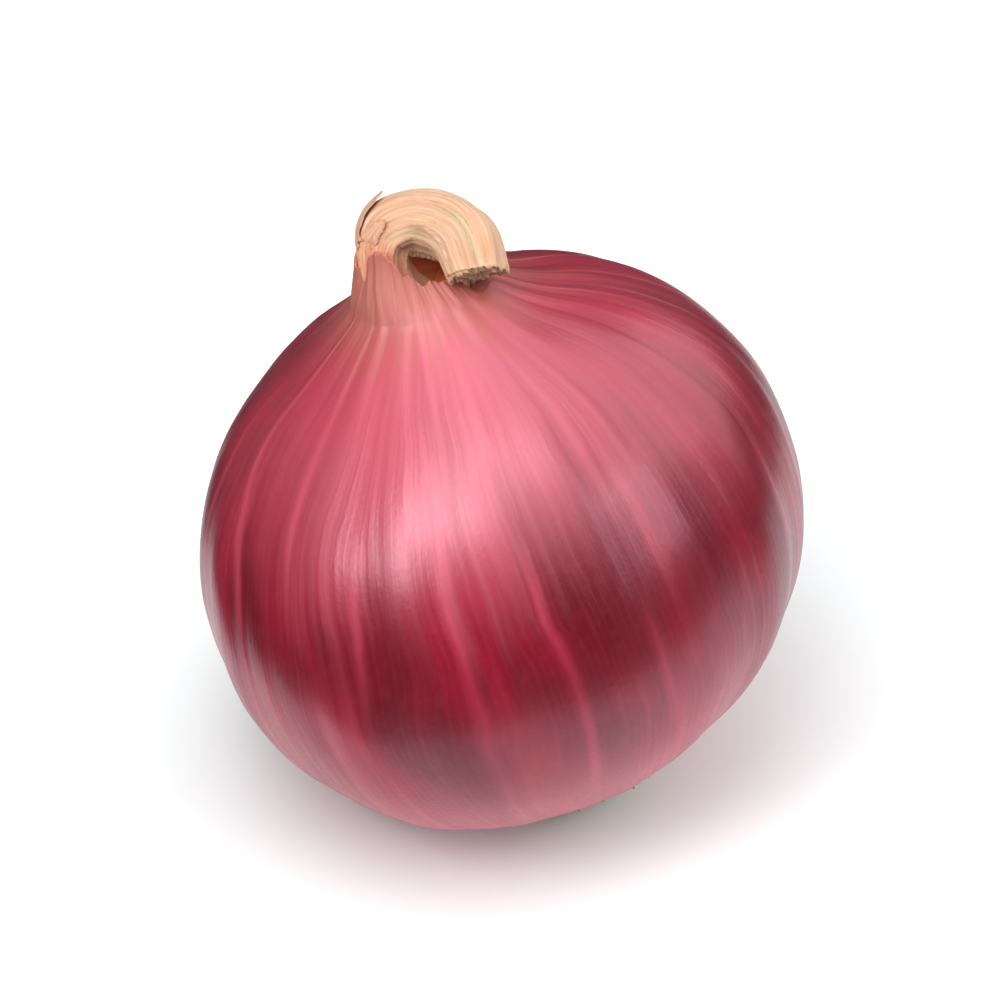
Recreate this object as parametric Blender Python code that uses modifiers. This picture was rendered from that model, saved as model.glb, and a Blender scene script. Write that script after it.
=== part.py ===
"""A whole red onion, leaning as it was set down: a squat bulb, its dried neck and its root tuft.

Units are metres and +Z is up. The onion is drawn upright about its own axis, with its equator
at z = 0, the neck at +z and its front at -y. An empty then leans it back and to the left, and
lowers it until the bulb stands on a small flat spot, whose centre is the origin.
"""

import math
import random

import bmesh
import bpy
from mathutils import Euler, Matrix, Vector

MM = 0.001

# The bulb
EQUATOR_RADIUS = 33.0 * MM
HALF_HEIGHT = 29.3 * MM
ROUNDNESS = 2.1  # 2 is an ellipse, and more is fuller
ROUND_STEPS = 76
BODY_STEPS = 24

# The skin's sweep up into the neck, and the collar that it ends in
SWEEP_RISE = 2.8 * MM
SWEEP_WIDTH = 4.0 * MM
COLLAR_FOOT_RADIUS = 8.0 * MM
COLLAR_BEND_RADIUS = 7.2 * MM
COLLAR_BEND_RISE = 2.0 * MM
COLLAR_RIM_RADIUS = 6.4 * MM
COLLAR_TOP = 36.0 * MM
COLLAR_WALL = 0.7 * MM
COLLAR_STEPS = 6
COLLAR_LEAN = Vector((-0.5, 0.2)) * MM
CUP_FLOOR = 30.4 * MM
# Height of the collar's torn rim by direction: degrees from +x towards +y, and millimetres
RIM_HEIGHTS = (
    (-88, 35.6),
    (-60, 32.7),
    (-35, 32.2),
    (0, 32.4),
    (45, 34.0),
    (90, 36.0),
    (150, 36.8),
    (200, 36.0),
    (240, 36.4),
)
RIM_TEARS = ((7, 0.20, 0.4), (12, 0.16, 2.1))  # waves round, millimetres, phase

SKEW = 0.045  # how much higher the bulb's widest belt runs on its right
# Low swells and ribs of the skin: waves round the axis, size, phase
SWELLS = ((2, 0.008, 0.9), (3, 0.010, 0.0), (5, 0.004, 4.0))  # shares of the radius
RIBS = ((11, 0.10, 0.3), (14, 0.09, 1.9), (19, 0.07, 5.1))  # millimetres
SMOOTH_WITHIN = 9.5 * MM  # nearer the axis than this the skin is plain
FULL_RELIEF_BEYOND = 17.0 * MM

# The root plate, in its dip
DIP_RIM_RADIUS = 9.2 * MM
DIP_RADIUS = 8.8 * MM
DIP_ROOF = -27.6 * MM
PLATE_RADIUS = 8.4 * MM
PLATE_CROWN = -30.2 * MM
GAP = 0.3 * MM  # between one node and the next

# The neck's centreline from the cup to the cut, with half its width and half its depth there
NECK_STATIONS = (
    (-1.9, 0.0, 30.7, 4.1, 4.5),
    (-2.8, 0.1, 32.8, 3.1, 4.0),
    (-3.1, 0.3, 35.0, 2.6, 3.5),
    (-2.6, 0.8, 37.2, 2.7, 3.3),
    (-1.2, 1.2, 38.9, 3.1, 3.3),
    (1.6, 1.0, 39.2, 3.2, 3.3),
    (4.2, -0.5, 38.4, 3.3, 3.4),
    (5.8, -2.8, 37.1, 3.3, 3.5),
    (6.2, -4.8, 35.8, 3.4, 3.6),
)
NECK_RINGS = 24
NECK_SIDES = 44
SHEATH_EDGES = (0.5, 2.3, 3.9, 5.3)  # where each rolled sheath's free edge lies, in radians
SHEATH_STEP = 0.12
SHEATH_SPAN = 1.3
SHEATH_TWIST = 0.9  # how far the edges turn round the neck from the cup to the cut
NECK_CREASES = ((5, 0.045, 2.0), (9, 0.03, -3.0))  # waves round, size, turn along the neck
# The cut face, from its edge to its middle: share of the neck's width, and rise in millimetres
CUT_RINGS = (
    (0.93, 0.55),
    (0.84, 0.45),
    (0.77, -0.9),
    (0.68, -1.0),
    (0.60, 0.35),
    (0.47, 0.25),
    (0.40, -1.3),
    (0.24, -1.5),
    (0.15, -0.4),
)
CUT_WAVE = 0.35 * MM

# Dried roots: radius of each ring on the plate, and how many stand in it
ROOT_RINGS = ((1.2, 3), (3.0, 8), (4.7, 13), (6.2, 17), (7.4, 20))
ROOT_LENGTHS = (2.2 * MM, 6.0 * MM)
ROOT_RADIUS = 0.55 * MM
ROOT_TIP_SHARE = 0.6
ROOT_JOINTS = 4
ROOT_SINK = 0.8 * MM
ROOT_CURL = 0.55
ROOT_SEED = 11

# How it stands
LEAN_BACK = math.radians(12.3)
LEAN_LEFT = math.radians(15.5)
SPIN = math.radians(11.7)
SEAT_DEPTH = 1.0 * MM  # how much of the round bottom the flat spot takes off
UP = Vector((0, 0, 1))

COLOURS = {
    "bulb": ((0.32, 0.022, 0.065), 0.38),
    "neck": ((0.84, 0.66, 0.42), 0.7),
    "roots": ((0.46, 0.28, 0.11), 0.85),
}


def smooth(low, high, value):
    """0 below low, 1 above high, and an S between them."""
    t = min(1.0, max(0.0, (value - low) / (high - low)))
    return t * t * (3 - 2 * t)


def waves(terms, angle):
    """The sum of the terms' cosines round the axis."""
    return sum(size * math.cos(count * angle + phase) for count, size, phase in terms)


def body_height(radius):
    """Height of the bulb's bare rounded body above its equator, at that distance from the axis."""
    share = (radius / EQUATOR_RADIUS) ** ROUNDNESS
    return HALF_HEIGHT * max(0.0, 1 - share) ** (1 / ROUNDNESS)


def shoulder_height(radius):
    """The upper side: the rounded body with the skin's sweep up towards the neck."""
    sweep = math.exp(-(radius - COLLAR_FOOT_RADIUS) / SWEEP_WIDTH)
    return body_height(radius) + SWEEP_RISE * sweep


def collar_line():
    """Points (radius, height) up the collar's outer side, from its foot to its rim."""
    foot = Vector((COLLAR_FOOT_RADIUS, shoulder_height(COLLAR_FOOT_RADIUS)))
    bend = Vector((COLLAR_BEND_RADIUS, foot.y + COLLAR_BEND_RISE))
    rim = Vector((COLLAR_RIM_RADIUS, COLLAR_TOP))
    points = []
    for step in range(1, COLLAR_STEPS + 1):
        t = step / COLLAR_STEPS
        points.append(foot * (1 - t) ** 2 + bend * (2 * t * (1 - t)) + rim * t * t)
    return points


def bulb_profile():
    """The bulb's half section, from the cup at the top down its outer side to the root dip."""
    outer = collar_line()
    inner = [Vector((p.x - COLLAR_WALL, p.y)) for p in outer if p.y > CUP_FLOOR + COLLAR_WALL]
    points = [Vector((0, CUP_FLOOR)), Vector((inner[0].x - COLLAR_WALL, CUP_FLOOR))]
    points += inner[:-1]
    points.append(inner[-1] + Vector((0, -COLLAR_WALL / 2)))
    points.append((inner[-1] + outer[-1]) / 2)
    points += [outer[-1] + Vector((0, -COLLAR_WALL / 2))] + outer[-2::-1]
    shoulder_end = math.acos(COLLAR_FOOT_RADIUS / EQUATOR_RADIUS)
    base_end = math.acos(DIP_RIM_RADIUS / EQUATOR_RADIUS)
    for step in range(BODY_STEPS + 1):
        angle = shoulder_end - (shoulder_end + base_end) * step / BODY_STEPS
        radius = EQUATOR_RADIUS * math.cos(angle)
        height = shoulder_height(radius) if angle > 0 else -body_height(radius)
        points.append(Vector((radius, height)))
    points.append(Vector((DIP_RADIUS, DIP_ROOF)))
    points.append(Vector((0, DIP_ROOF)))
    return points


def stance(bulb):
    """The matrix that stands the upright onion on its flat spot, centred on the origin."""
    turn = Euler((-LEAN_BACK, -LEAN_LEFT, SPIN), "ZXY").to_matrix()
    leaning = [turn @ corner.co for corner in bulb.data.vertices]
    floor = min(point.z for point in leaning) + SEAT_DEPTH
    pressed = [point for point in leaning if point.z < floor]
    middle = sum(pressed, Vector()) / len(pressed)
    return Matrix.Translation((-middle.x, -middle.y, -floor)) @ turn.to_4x4()


def clear_scene():
    for thing in list(bpy.data.objects):
        bpy.data.objects.remove(thing)


def collection_named(name):
    made = bpy.data.collections.new(name)
    bpy.context.scene.collection.children.link(made)
    return made


def material_named(name):
    colour, roughness = COLOURS[name]
    made = bpy.data.materials.new(name)
    made.use_nodes = True
    shader = made.node_tree.nodes["Principled BSDF"]
    shader.inputs["Base Color"].default_value = (*colour, 1)
    shader.inputs["Roughness"].default_value = roughness
    shader.inputs["Metallic"].default_value = 0
    return made


def object_from(name, mesh, collection):
    made = bpy.data.objects.new(name, mesh)
    collection.objects.link(made)
    return made


def baked(thing):
    """The object's mesh with its modifiers applied, and a curve's caps welded on."""
    graph = bpy.context.evaluated_depsgraph_get()
    mesh = bpy.data.meshes.new_from_object(thing.evaluated_get(graph))
    work = bmesh.new()
    work.from_mesh(mesh)
    bmesh.ops.remove_doubles(work, verts=work.verts, dist=0.01 * MM)
    work.to_mesh(mesh)
    work.free()
    return mesh


def turned(name, points, collection):
    """A solid of revolution about z, from a half section that runs down its outer side."""
    mesh = bpy.data.meshes.new(name)
    corners = [(p.x, 0, p.y) for p in points]
    edges = [(i, i + 1) for i in range(len(points) - 1)]
    mesh.from_pydata(corners, edges, [])
    made = object_from(name, mesh, collection)
    screw = made.modifiers.new("turn", "SCREW")
    screw.steps = screw.render_steps = ROUND_STEPS
    screw.use_merge_vertices = True
    screw.merge_threshold = 0.02 * MM
    made.data = baked(made)
    made.modifiers.remove(screw)
    return made


def rim_height(angle):
    """Height of the collar's torn rim in that direction."""
    degrees = math.degrees(angle)
    stops = list(RIM_HEIGHTS) + [(RIM_HEIGHTS[0][0] + 360, RIM_HEIGHTS[0][1])]
    if degrees < stops[0][0]:
        degrees += 360
    for (low, low_height), (high, high_height) in zip(stops, stops[1:]):
        if degrees <= high:
            height = low_height + (high_height - low_height) * smooth(low, high, degrees)
            return (height + waves(RIM_TEARS, angle)) * MM
    return stops[-1][1] * MM


def skinned(point):
    """Where the skin's swells, ribs and torn collar put a point of the plain turned bulb."""
    radius = math.hypot(point.x, point.y)
    if radius < 0.01 * MM:
        return point
    angle = math.atan2(point.y, point.x)
    share = smooth(SMOOTH_WITHIN, FULL_RELIEF_BEYOND, radius)
    grown = radius * (1 + share * waves(SWELLS, angle)) + share * waves(RIBS, angle) * MM
    moved = Vector((point.x * grown / radius, point.y * grown / radius, point.z))
    moved.z += share * SKEW * moved.x
    foot = shoulder_height(COLLAR_FOOT_RADIUS)
    if point.z > foot:
        rise = (point.z - foot) / (COLLAR_TOP - foot)
        moved.z = foot + rise * (rim_height(angle) - foot)
        moved.xy += COLLAR_LEAN * smooth(foot, COLLAR_TOP, moved.z)
    return moved


def make_bulb(collection):
    bulb = turned("bulb", bulb_profile(), collection)
    for corner in bulb.data.vertices:
        corner.co = skinned(corner.co)
    return bulb


def between(stations, t):
    """The stations' values at t from 0 to 1, on a smooth curve through all of them."""
    place = t * (len(stations) - 1)
    i = min(int(place), len(stations) - 2)
    u = place - i
    before, start, end, after = (
        stations[min(max(k, 0), len(stations) - 1)] for k in (i - 1, i, i + 1, i + 2)
    )
    return [
        0.5 * (2 * b + (c - a) * u + (2 * a - 5 * b + 4 * c - d) * u * u + (3 * b - a - 3 * c + d) * u**3)
        for a, b, c, d in zip(before, start, end, after)
    ]


def sheath_swell(angle, along):
    """How far the rolled sheaths stand out at that angle round the neck: a step at each free edge."""
    swell = 0.0
    for edge in SHEATH_EDGES:
        past = (angle - edge - SHEATH_TWIST * along) % math.tau
        swell += SHEATH_STEP * max(0.0, 1 - past / SHEATH_SPAN)
    for count, size, turn in NECK_CREASES:
        swell += size * math.cos(count * angle + turn * along)
    return swell


def neck_rings():
    """Rings of points up the neck and in over its cut face."""
    step = 1 / (NECK_RINGS - 1)
    values = [between(NECK_STATIONS, i * step) for i in range(NECK_RINGS)]
    centres = [Vector(v[:3]) * MM for v in values]
    across = Vector((1, 0, 0))
    rings = []
    for i, (centre, value) in enumerate(zip(centres, values)):
        ahead = centres[min(i + 1, NECK_RINGS - 1)] - centres[max(i - 1, 0)]
        ahead = UP.lerp(ahead.normalized(), smooth(0, 0.3, i * step)).normalized()
        across = (across - ahead * across.dot(ahead)).normalized()
        over = ahead.cross(across)
        rings.append((centre, across.copy(), over, ahead, value[3] * MM, value[4] * MM, i * step))
    centre, across, over, ahead, width, depth, along = rings[-1]
    for share, rise in CUT_RINGS:
        rings.append((centre + ahead * rise * MM, across, over, ahead, width * share, depth * share, along))
    placed = []
    for number, (centre, across, over, ahead, width, depth, along) in enumerate(rings):
        ring = []
        for side in range(NECK_SIDES):
            angle = math.tau * side / NECK_SIDES
            swell = 1 + sheath_swell(angle, along) * smooth(0, 0.25, along)
            offset = across * (width * swell * math.cos(angle)) + over * (depth * swell * math.sin(angle))
            if number >= NECK_RINGS:
                offset += ahead * CUT_WAVE * math.cos(2 * angle + number)
            ring.append(centre + offset)
        placed.append(ring)
    return placed


def make_neck(collection):
    """A loft through the neck's rings, closed at the cup by a fan and at the cut by another."""
    work = bmesh.new()
    rings = [[work.verts.new(p) for p in ring] for ring in neck_rings()]
    for low, high in zip(rings, rings[1:]):
        for i in range(NECK_SIDES):
            j = (i + 1) % NECK_SIDES
            work.faces.new((low[i], low[j], high[j], high[i]))
    for ring, reverse in ((rings[0], True), (rings[-1], False)):
        middle = work.verts.new(sum((v.co for v in ring), Vector()) / NECK_SIDES)
        for i in range(NECK_SIDES):
            pair = (ring[i], ring[(i + 1) % NECK_SIDES])
            work.faces.new((middle, *(pair[::-1] if reverse else pair)))
    mesh = bpy.data.meshes.new("neck")
    work.to_mesh(mesh)
    work.free()
    return object_from("neck", mesh, collection)


def plate_profile():
    """The root plate's half section: a low dome that hangs in the bulb's dip."""
    roof = DIP_ROOF - GAP
    return [
        Vector((0, roof)),
        Vector((PLATE_RADIUS - 0.6 * MM, roof)),
        Vector((PLATE_RADIUS, roof - 0.7 * MM)),
        Vector((PLATE_RADIUS * 0.92, roof - 1.3 * MM)),
        Vector((PLATE_RADIUS * 0.62, PLATE_CROWN + 0.4 * MM)),
        Vector((0, PLATE_CROWN)),
    ]


def plate_height(radius):
    """Height of the root plate's under side at that distance from the axis."""
    edge = DIP_ROOF - GAP - 1.0 * MM
    return PLATE_CROWN + (edge - PLATE_CROWN) * (radius / PLATE_RADIUS) ** 2


def root_path(foot, outward, length, curl, stand):
    """Points along one root: out of the plate, away from the axis, above the floor and clear of
    the bulb. It ends early where the bulb and the floor leave it no room."""
    floor_up = stand.to_3x3().inverted() @ UP
    sideways = outward.cross(UP)
    points = [foot - outward * ROOT_SINK + UP * ROOT_SINK / 2]
    for joint in range(1, ROOT_JOINTS + 1):
        t = joint / ROOT_JOINTS
        point = foot + outward * (length * 0.75 * t) - UP * (length * (0.8 * t - 0.25 * t * t))
        point += sideways * (curl * length * t * t)
        low = 1.25 * ROOT_RADIUS - (stand @ point).z
        if low > 0:
            point += floor_up * low
        radius = math.hypot(point.x, point.y)
        lid = -body_height(radius) if radius > PLATE_RADIUS - ROOT_RADIUS else DIP_ROOF - GAP
        if lid - point.z < ROOT_RADIUS + 2 * GAP:
            break
        points.append(point)
    return points


def make_root(points, collection):
    """One root as a thin tapering tube of few sides."""
    curve = bpy.data.curves.new("root", "CURVE")
    curve.dimensions = "3D"
    curve.bevel_depth = ROOT_RADIUS
    curve.bevel_resolution = 0
    curve.use_fill_caps = True
    line = curve.splines.new("POLY")
    line.points.add(len(points) - 1)
    for number, (knot, point) in enumerate(zip(line.points, points)):
        knot.co = (*point, 1)
        knot.radius = 1 - (1 - ROOT_TIP_SHARE) * number / (len(points) - 1)
    tube = object_from("root_curve", curve, collection)
    object_from("root", baked(tube), collection)
    bpy.data.objects.remove(tube)


def make_roots(collection, stand):
    """The root plate with its dried roots joined to it."""
    dice = random.Random(ROOT_SEED)
    tuft = collection_named("root_tuft")
    for radius_mm, count in ROOT_RINGS:
        for number in range(count):
            angle = math.tau * (number + dice.uniform(-0.3, 0.3)) / count + radius_mm
            radius = (radius_mm + dice.uniform(-0.4, 0.4)) * MM
            outward = Vector((math.cos(angle), math.sin(angle), 0))
            foot = outward * radius + UP * plate_height(radius)
            length = dice.uniform(*ROOT_LENGTHS)
            points = root_path(foot, outward, length, dice.uniform(-ROOT_CURL, ROOT_CURL), stand)
            if len(points) > 2:
                make_root(points, tuft)
    roots = turned("roots", plate_profile(), collection)
    join = roots.modifiers.new("tuft", "BOOLEAN")
    join.operation = "UNION"
    join.operand_type = "COLLECTION"
    join.collection = tuft
    roots.data = baked(roots)
    roots.modifiers.remove(join)
    for root in list(tuft.objects):
        bpy.data.objects.remove(root)
    bpy.data.collections.remove(tuft)
    return roots


def make_floor_block(cutters):
    """The block below Z = 0 that presses the onion's flat spot."""
    bpy.ops.mesh.primitive_cube_add(size=1)
    block = bpy.context.object
    block.name = "floor_block"
    block.data.transform(Matrix.Diagonal((0.1, 0.1, 0.02, 1)) @ Matrix.Translation((0, 0, -0.5)))
    for owner in list(block.users_collection):
        owner.objects.unlink(block)
    cutters.objects.link(block)
    block.hide_render = True
    block.display_type = "WIRE"
    return block


def press(piece, floor_block):
    """Takes off what would reach below the floor."""
    cut = piece.modifiers.new("flat_spot", "BOOLEAN")
    cut.operation = "DIFFERENCE"
    cut.object = floor_block


def main():
    clear_scene()
    onion = collection_named("red_onion")
    floor_block = make_floor_block(collection_named("cutters"))
    bulb = make_bulb(onion)
    neck = make_neck(onion)
    axis = object_from("onion_axis", None, onion)
    axis.matrix_world = stance(bulb)
    roots = make_roots(onion, axis.matrix_world)
    for piece in (bulb, neck, roots):
        piece.parent = axis
        piece.data.materials.clear()
        piece.data.materials.append(material_named(piece.name))
        piece.data.shade_smooth()
        piece.data.set_sharp_from_angle(angle=math.radians(50))
    press(bulb, floor_block)
    press(roots, floor_block)


main()
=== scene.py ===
"""A red onion's looks: papery skin, dried neck and root tuft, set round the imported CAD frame.

The file is laid out as an add-on and is run as a script. Each piece is drawn upright in the
onion's own frame, in metres, with the neck at +z and the front at -y. It then stands where the
CAD onion stands. A place "round" the onion is an angle from +x towards +y.
"""

import math
import random

import bpy
import numpy as np
from bpy.props import FloatProperty, FloatVectorProperty, IntProperty, PointerProperty
from mathutils import Euler, Matrix, Vector, noise


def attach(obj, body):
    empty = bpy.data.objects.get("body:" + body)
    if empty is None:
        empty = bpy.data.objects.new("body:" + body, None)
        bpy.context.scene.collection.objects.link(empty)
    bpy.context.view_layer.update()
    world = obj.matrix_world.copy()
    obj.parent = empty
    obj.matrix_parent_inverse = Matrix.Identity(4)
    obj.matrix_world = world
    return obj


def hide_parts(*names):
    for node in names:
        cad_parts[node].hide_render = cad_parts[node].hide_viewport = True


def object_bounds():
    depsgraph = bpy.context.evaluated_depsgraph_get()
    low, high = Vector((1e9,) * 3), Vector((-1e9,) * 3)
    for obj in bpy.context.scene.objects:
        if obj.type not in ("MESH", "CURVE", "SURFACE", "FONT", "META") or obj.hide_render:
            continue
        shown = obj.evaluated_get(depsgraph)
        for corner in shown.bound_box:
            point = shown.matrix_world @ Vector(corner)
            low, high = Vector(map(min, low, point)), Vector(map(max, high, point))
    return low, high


bl_info = {
    "name": "Red onion",
    "version": (1, 0, 0),
    "blender": (4, 5, 0),
    "location": "3D View > Sidebar > Onion",
    "description": "Grows a red onion's skin, neck and roots, and sets a pale studio for it",
    "category": "Object",
}

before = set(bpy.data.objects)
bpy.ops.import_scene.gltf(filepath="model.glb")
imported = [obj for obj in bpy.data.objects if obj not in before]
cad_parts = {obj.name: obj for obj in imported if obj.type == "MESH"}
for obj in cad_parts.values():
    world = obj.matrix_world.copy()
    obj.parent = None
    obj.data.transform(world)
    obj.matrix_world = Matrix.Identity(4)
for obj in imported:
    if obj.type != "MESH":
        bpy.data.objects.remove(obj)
CAD_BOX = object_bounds()

MM = 0.001
UP = Vector((0, 0, 1))

# How the onion stands
LEAN_BACK = math.radians(12.3)
LEAN_LEFT = math.radians(15.5)
SPIN = math.radians(11.7)
PLATE_TOP = -27.9 * MM

# The skin is paler all round near the neck, and palest on the side that lies this many radians
# before +x, near the front; that extra paleness is a painted sheen
PAINTED_SHEEN_SIDE = 1.5

# The skin's sweep up into the neck, and the collar that it ends in
SWEEP_RISE = 2.8 * MM
SWEEP_WIDTH = 4.0 * MM
COLLAR_FOOT_RADIUS = 8.0 * MM
COLLAR_BEND_RADIUS = 7.2 * MM
COLLAR_BEND_RISE = 2.0 * MM
COLLAR_RIM_RADIUS = 6.4 * MM
COLLAR_TOP = 36.0 * MM
COLLAR_WALLS = (0.8 * MM, 0.3 * MM)  # at its foot and at its rim
COLLAR_LEAN = (-0.5 * MM, 0.2 * MM)
CUP_FLOOR = 30.4 * MM
# The collar's torn rim: degrees round the onion, its height, and how far it leans in, in
# millimetres. It wraps the neck at the left and in front, and stands open at the right.
RIM_HEIGHTS = (
    (-150, 37.4),
    (-118, 37.6),
    (-95, 35.8),
    (-78, 34.5),
    (-62, 33.9),
    (-50, 33.0),
    (-38, 32.4),
    (-20, 32.2),
    (5, 32.5),
    (45, 34.0),
    (90, 36.0),
    (150, 36.8),
    (200, 36.6),
)
RIM_LEANS = (
    (-150, 1.8),
    (-120, 2.1),
    (-98, 1.6),
    (-78, 1.0),
    (-62, 0.6),
    (-50, 0.3),
    (-38, 0.0),
    (60, 0.0),
    (100, 0.7),
    (150, 1.0),
    (185, 1.0),
)
RIM_TEARS = ((7, 0.20, 0.4), (12, 0.16, 2.1))  # waves round, millimetres, phase

# Low swells and ribs: waves round the axis, size, phase
SWELLS = ((2, 0.008, 0.9), (3, 0.010, 0.0), (5, 0.004, 4.0))  # shares of the radius
RIBS = ((11, 0.10, 0.3), (14, 0.09, 1.9), (19, 0.07, 5.1))  # millimetres
SMOOTH_WITHIN = 9.5 * MM
FULL_RELIEF_BEYOND = 17.0 * MM

# The root plate, in its dip
DIP_RIM_RADIUS = 9.2 * MM
DIP_RADIUS = 8.8 * MM
DIP_ROOF = -27.6 * MM
PLATE_RADIUS = 8.4 * MM
PLATE_CROWN = -30.2 * MM

# How finely each mesh is cut
SKIN_SIDES = 480
COLLAR_ROWS = 20
BODY_ROWS = 128
CUP_ROWS = 7
NECK_SIDES = 168
NECK_RINGS = 130
SCRAP_RINGS = 46
SCRAP_HALF_SIDES = 8
PLATE_SIDES = 120
PLATE_ROWS = 22
FLOOR_SIDES = 96

# The neck's centreline from the cup to the cut, with half its width and half its depth there
NECK_STATIONS = (
    (-1.9, 0.0, 30.7, 4.1, 4.5),
    (-2.8, 0.1, 32.8, 3.1, 4.0),
    (-3.1, 0.3, 35.0, 2.6, 3.5),
    (-2.6, 0.8, 37.2, 2.7, 3.3),
    (-1.2, 1.2, 38.6, 3.1, 3.3),
    (1.6, 1.0, 38.8, 3.2, 3.3),
    (4.2, -0.5, 38.1, 3.3, 3.4),
    (5.9, -2.8, 36.9, 3.3, 3.5),
    (6.1, -5.2, 34.5, 3.0, 3.3),
)
SHEATH_EDGES = (0.5, 2.3, 3.9, 5.3)  # where each rolled sheath's free edge lies, in radians
SHEATH_STEP = 0.12
SHEATH_SPAN = 1.3
SHEATH_TWIST = 0.9
CUT_SLANT = 1.0 * MM  # how much further the neck's outer side reaches than its inner side
NECK_CREASES = ((5, 0.045, 2.0), (9, 0.03, -3.0))
# The cut face, edge to middle: share of the neck's width, rise in millimetres, and painted shadow
CUT_RINGS = (
    (0.99, 0.25, 0.0),
    (0.95, 0.55, 0.0),
    (0.90, 0.50, 0.1),
    (0.87, 0.00, 0.8),
    (0.83, -0.50, 1.0),
    (0.79, 0.10, 0.5),
    (0.75, 0.45, 0.0),
    (0.69, 0.40, 0.1),
    (0.66, -0.10, 0.8),
    (0.61, -0.70, 1.0),
    (0.57, 0.00, 0.5),
    (0.53, 0.30, 0.0),
    (0.45, 0.20, 0.1),
    (0.41, -0.40, 0.8),
    (0.35, -0.90, 1.0),
    (0.30, -0.30, 0.6),
    (0.24, -0.10, 0.2),
    (0.14, -0.60, 0.8),
    (0.05, -1.10, 1.0),
)

# Scraps of sheath on the neck: start and end as shares of its length, middle and half width as
# angles round it, and how far the tip lifts off, in millimetres
SCRAPS = (
    (0.32, 0.54, 3.05, 0.50, 0.4),
    (0.38, 0.51, 4.05, 0.30, 0.3),
    (0.30, 0.47, 2.20, 0.50, 0.4),
)
SCRAP_THICKNESS = 0.11 * MM

# The studio. The near floor, which the skin mirrors, has its middle off to the right and the
# back, so that the onion's left and front mirror less of it.
FLOOR_MIDDLE = (40 * MM, 9 * MM, 0)
FLOOR_DROP = 0.02 * MM
BACKDROP_RADIUS = 2.4
BACKDROP_BEND = 0.8
BACKDROP_TOP = 2.0
CAMERA_REACH = 50
DISPLAY_GAMMA = 0.88
# Each light's place, and its width and height
LIGHTS = {
    "key": ((-0.64, -0.49, 0.63), (0.38, 0.62)),
    "crown": ((-0.22, -0.28, 0.96), (0.60, 0.70)),
    "overhead": ((0.12, -0.08, 1.05), (1.9, 1.8)),
    "side": ((0.82, -0.38, 0.58), (0.60, 0.75)),
    "rear": ((0.85, 0.65, 0.55), (1.1, 0.9)),
}


def smooth(low, high, value):
    """0 below low, 1 above high, and an S between them; works on numbers and on arrays."""
    t = np.clip((value - low) / (high - low), 0.0, 1.0)
    return t * t * (3 - 2 * t)


def waves(terms, angle):
    """The sum of the terms' cosines round the axis."""
    return sum(size * np.cos(count * angle + phase) for count, size, phase in terms)


def onion_place():
    """The matrix that stands an upright piece where the CAD onion stands.

    The lean is the CAD's. The place comes from the root plate's flat top, which is round and
    square to the onion's axis.
    """
    turn = Euler((-LEAN_BACK, -LEAN_LEFT, SPIN), "ZXY").to_matrix()
    back = turn.transposed()
    upright = np.array([back @ corner.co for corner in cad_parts["roots"].data.vertices])
    top = upright[:, 2].max()
    plate = upright[upright[:, 2] > top - 0.01 * MM]
    middle = (plate.min(0) + plate.max(0)) / 2
    centre = Vector((middle[0], middle[1], top - PLATE_TOP))
    return Matrix.Translation(turn @ centre) @ turn.to_4x4()


def streak_noise(angles, places, count, wander, seed):
    """Noise from -1 to 1 in streaks along the onion: about count of them round it, each changing
    slowly from place to place. One row for each place, one column for each angle."""
    reach = count / math.tau
    rows = []
    for place in places:
        height = wander * place + seed
        rows.append(
            [noise.noise((reach * math.cos(a), reach * math.sin(a), height)) for a in angles]
        )
    return np.array(rows)


def spot_noise(points, size, seed):
    """Noise from -1 to 1 in even spots of about that size."""
    flat = points.reshape(-1, 3) / size + seed
    return np.array([noise.noise(p) for p in flat.tolist()]).reshape(points.shape[:-1])


def rows_mesh(name, grid, caps=(True, True)):
    """A mesh from a grid of points: rows that run down the outer side, columns that run round.
    A cap closes the first or the last row with a fan."""
    rows, sides = grid.shape[:2]
    corners = grid.reshape(-1, 3).tolist()
    faces = []
    for i in range(rows - 1):
        for j in range(sides):
            k = (j + 1) % sides
            faces.append((i * sides + j, (i + 1) * sides + j, (i + 1) * sides + k, i * sides + k))
    for cap, row, turned in ((caps[0], 0, False), (caps[1], rows - 1, True)):
        if not cap:
            continue
        middle = len(corners)
        corners.append(grid[row].mean(0).tolist())
        for j in range(sides):
            pair = (row * sides + j, row * sides + (j + 1) % sides)
            faces.append((middle, *(pair[::-1] if turned else pair)))
    mesh = bpy.data.meshes.new(name)
    mesh.from_pydata(corners, [], faces)
    mesh.shade_smooth()
    return mesh


def mark(mesh, name, values):
    """Keeps a number for each point of the mesh, for its material to read."""
    held = np.zeros(len(mesh.vertices), dtype=np.float32)
    held[: values.size] = values.reshape(-1)
    mesh.attributes.new(name, "FLOAT", "POINT").data.foreach_set("value", held)


def mark_place(mesh, name, places):
    """Keeps a place for each point of the mesh, for its material to read."""
    held = np.zeros((len(mesh.vertices), 3), dtype=np.float32)
    flat = places.reshape(-1, 3)
    held[: len(flat)] = flat
    mesh.attributes.new(name, "FLOAT_VECTOR", "POINT").data.foreach_set("vector", held.reshape(-1))


def place_piece(name, mesh, finish, nodes=()):
    """Stands an upright mesh on the frame as a piece of the onion. Each point keeps its upright
    place for the material to read."""
    mark_place(mesh, "upright", np.array([corner.co for corner in mesh.vertices]))
    mesh.transform(onion_place())
    piece = bpy.data.objects.new(name, mesh)
    bpy.context.scene.collection.objects.link(piece)
    mesh.materials.append(finish)
    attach(piece, "root")
    if nodes:
        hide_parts(*nodes)
    return piece


def above_floor(points, stand, clearance=0.0):
    """Lifts upright points that would stand lower than the floor."""
    turn = np.array(stand.to_3x3())
    world = points @ turn.T + np.array(stand.translation)
    world[..., 2] = np.maximum(world[..., 2], clearance)
    return (world - np.array(stand.translation)) @ turn


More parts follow.
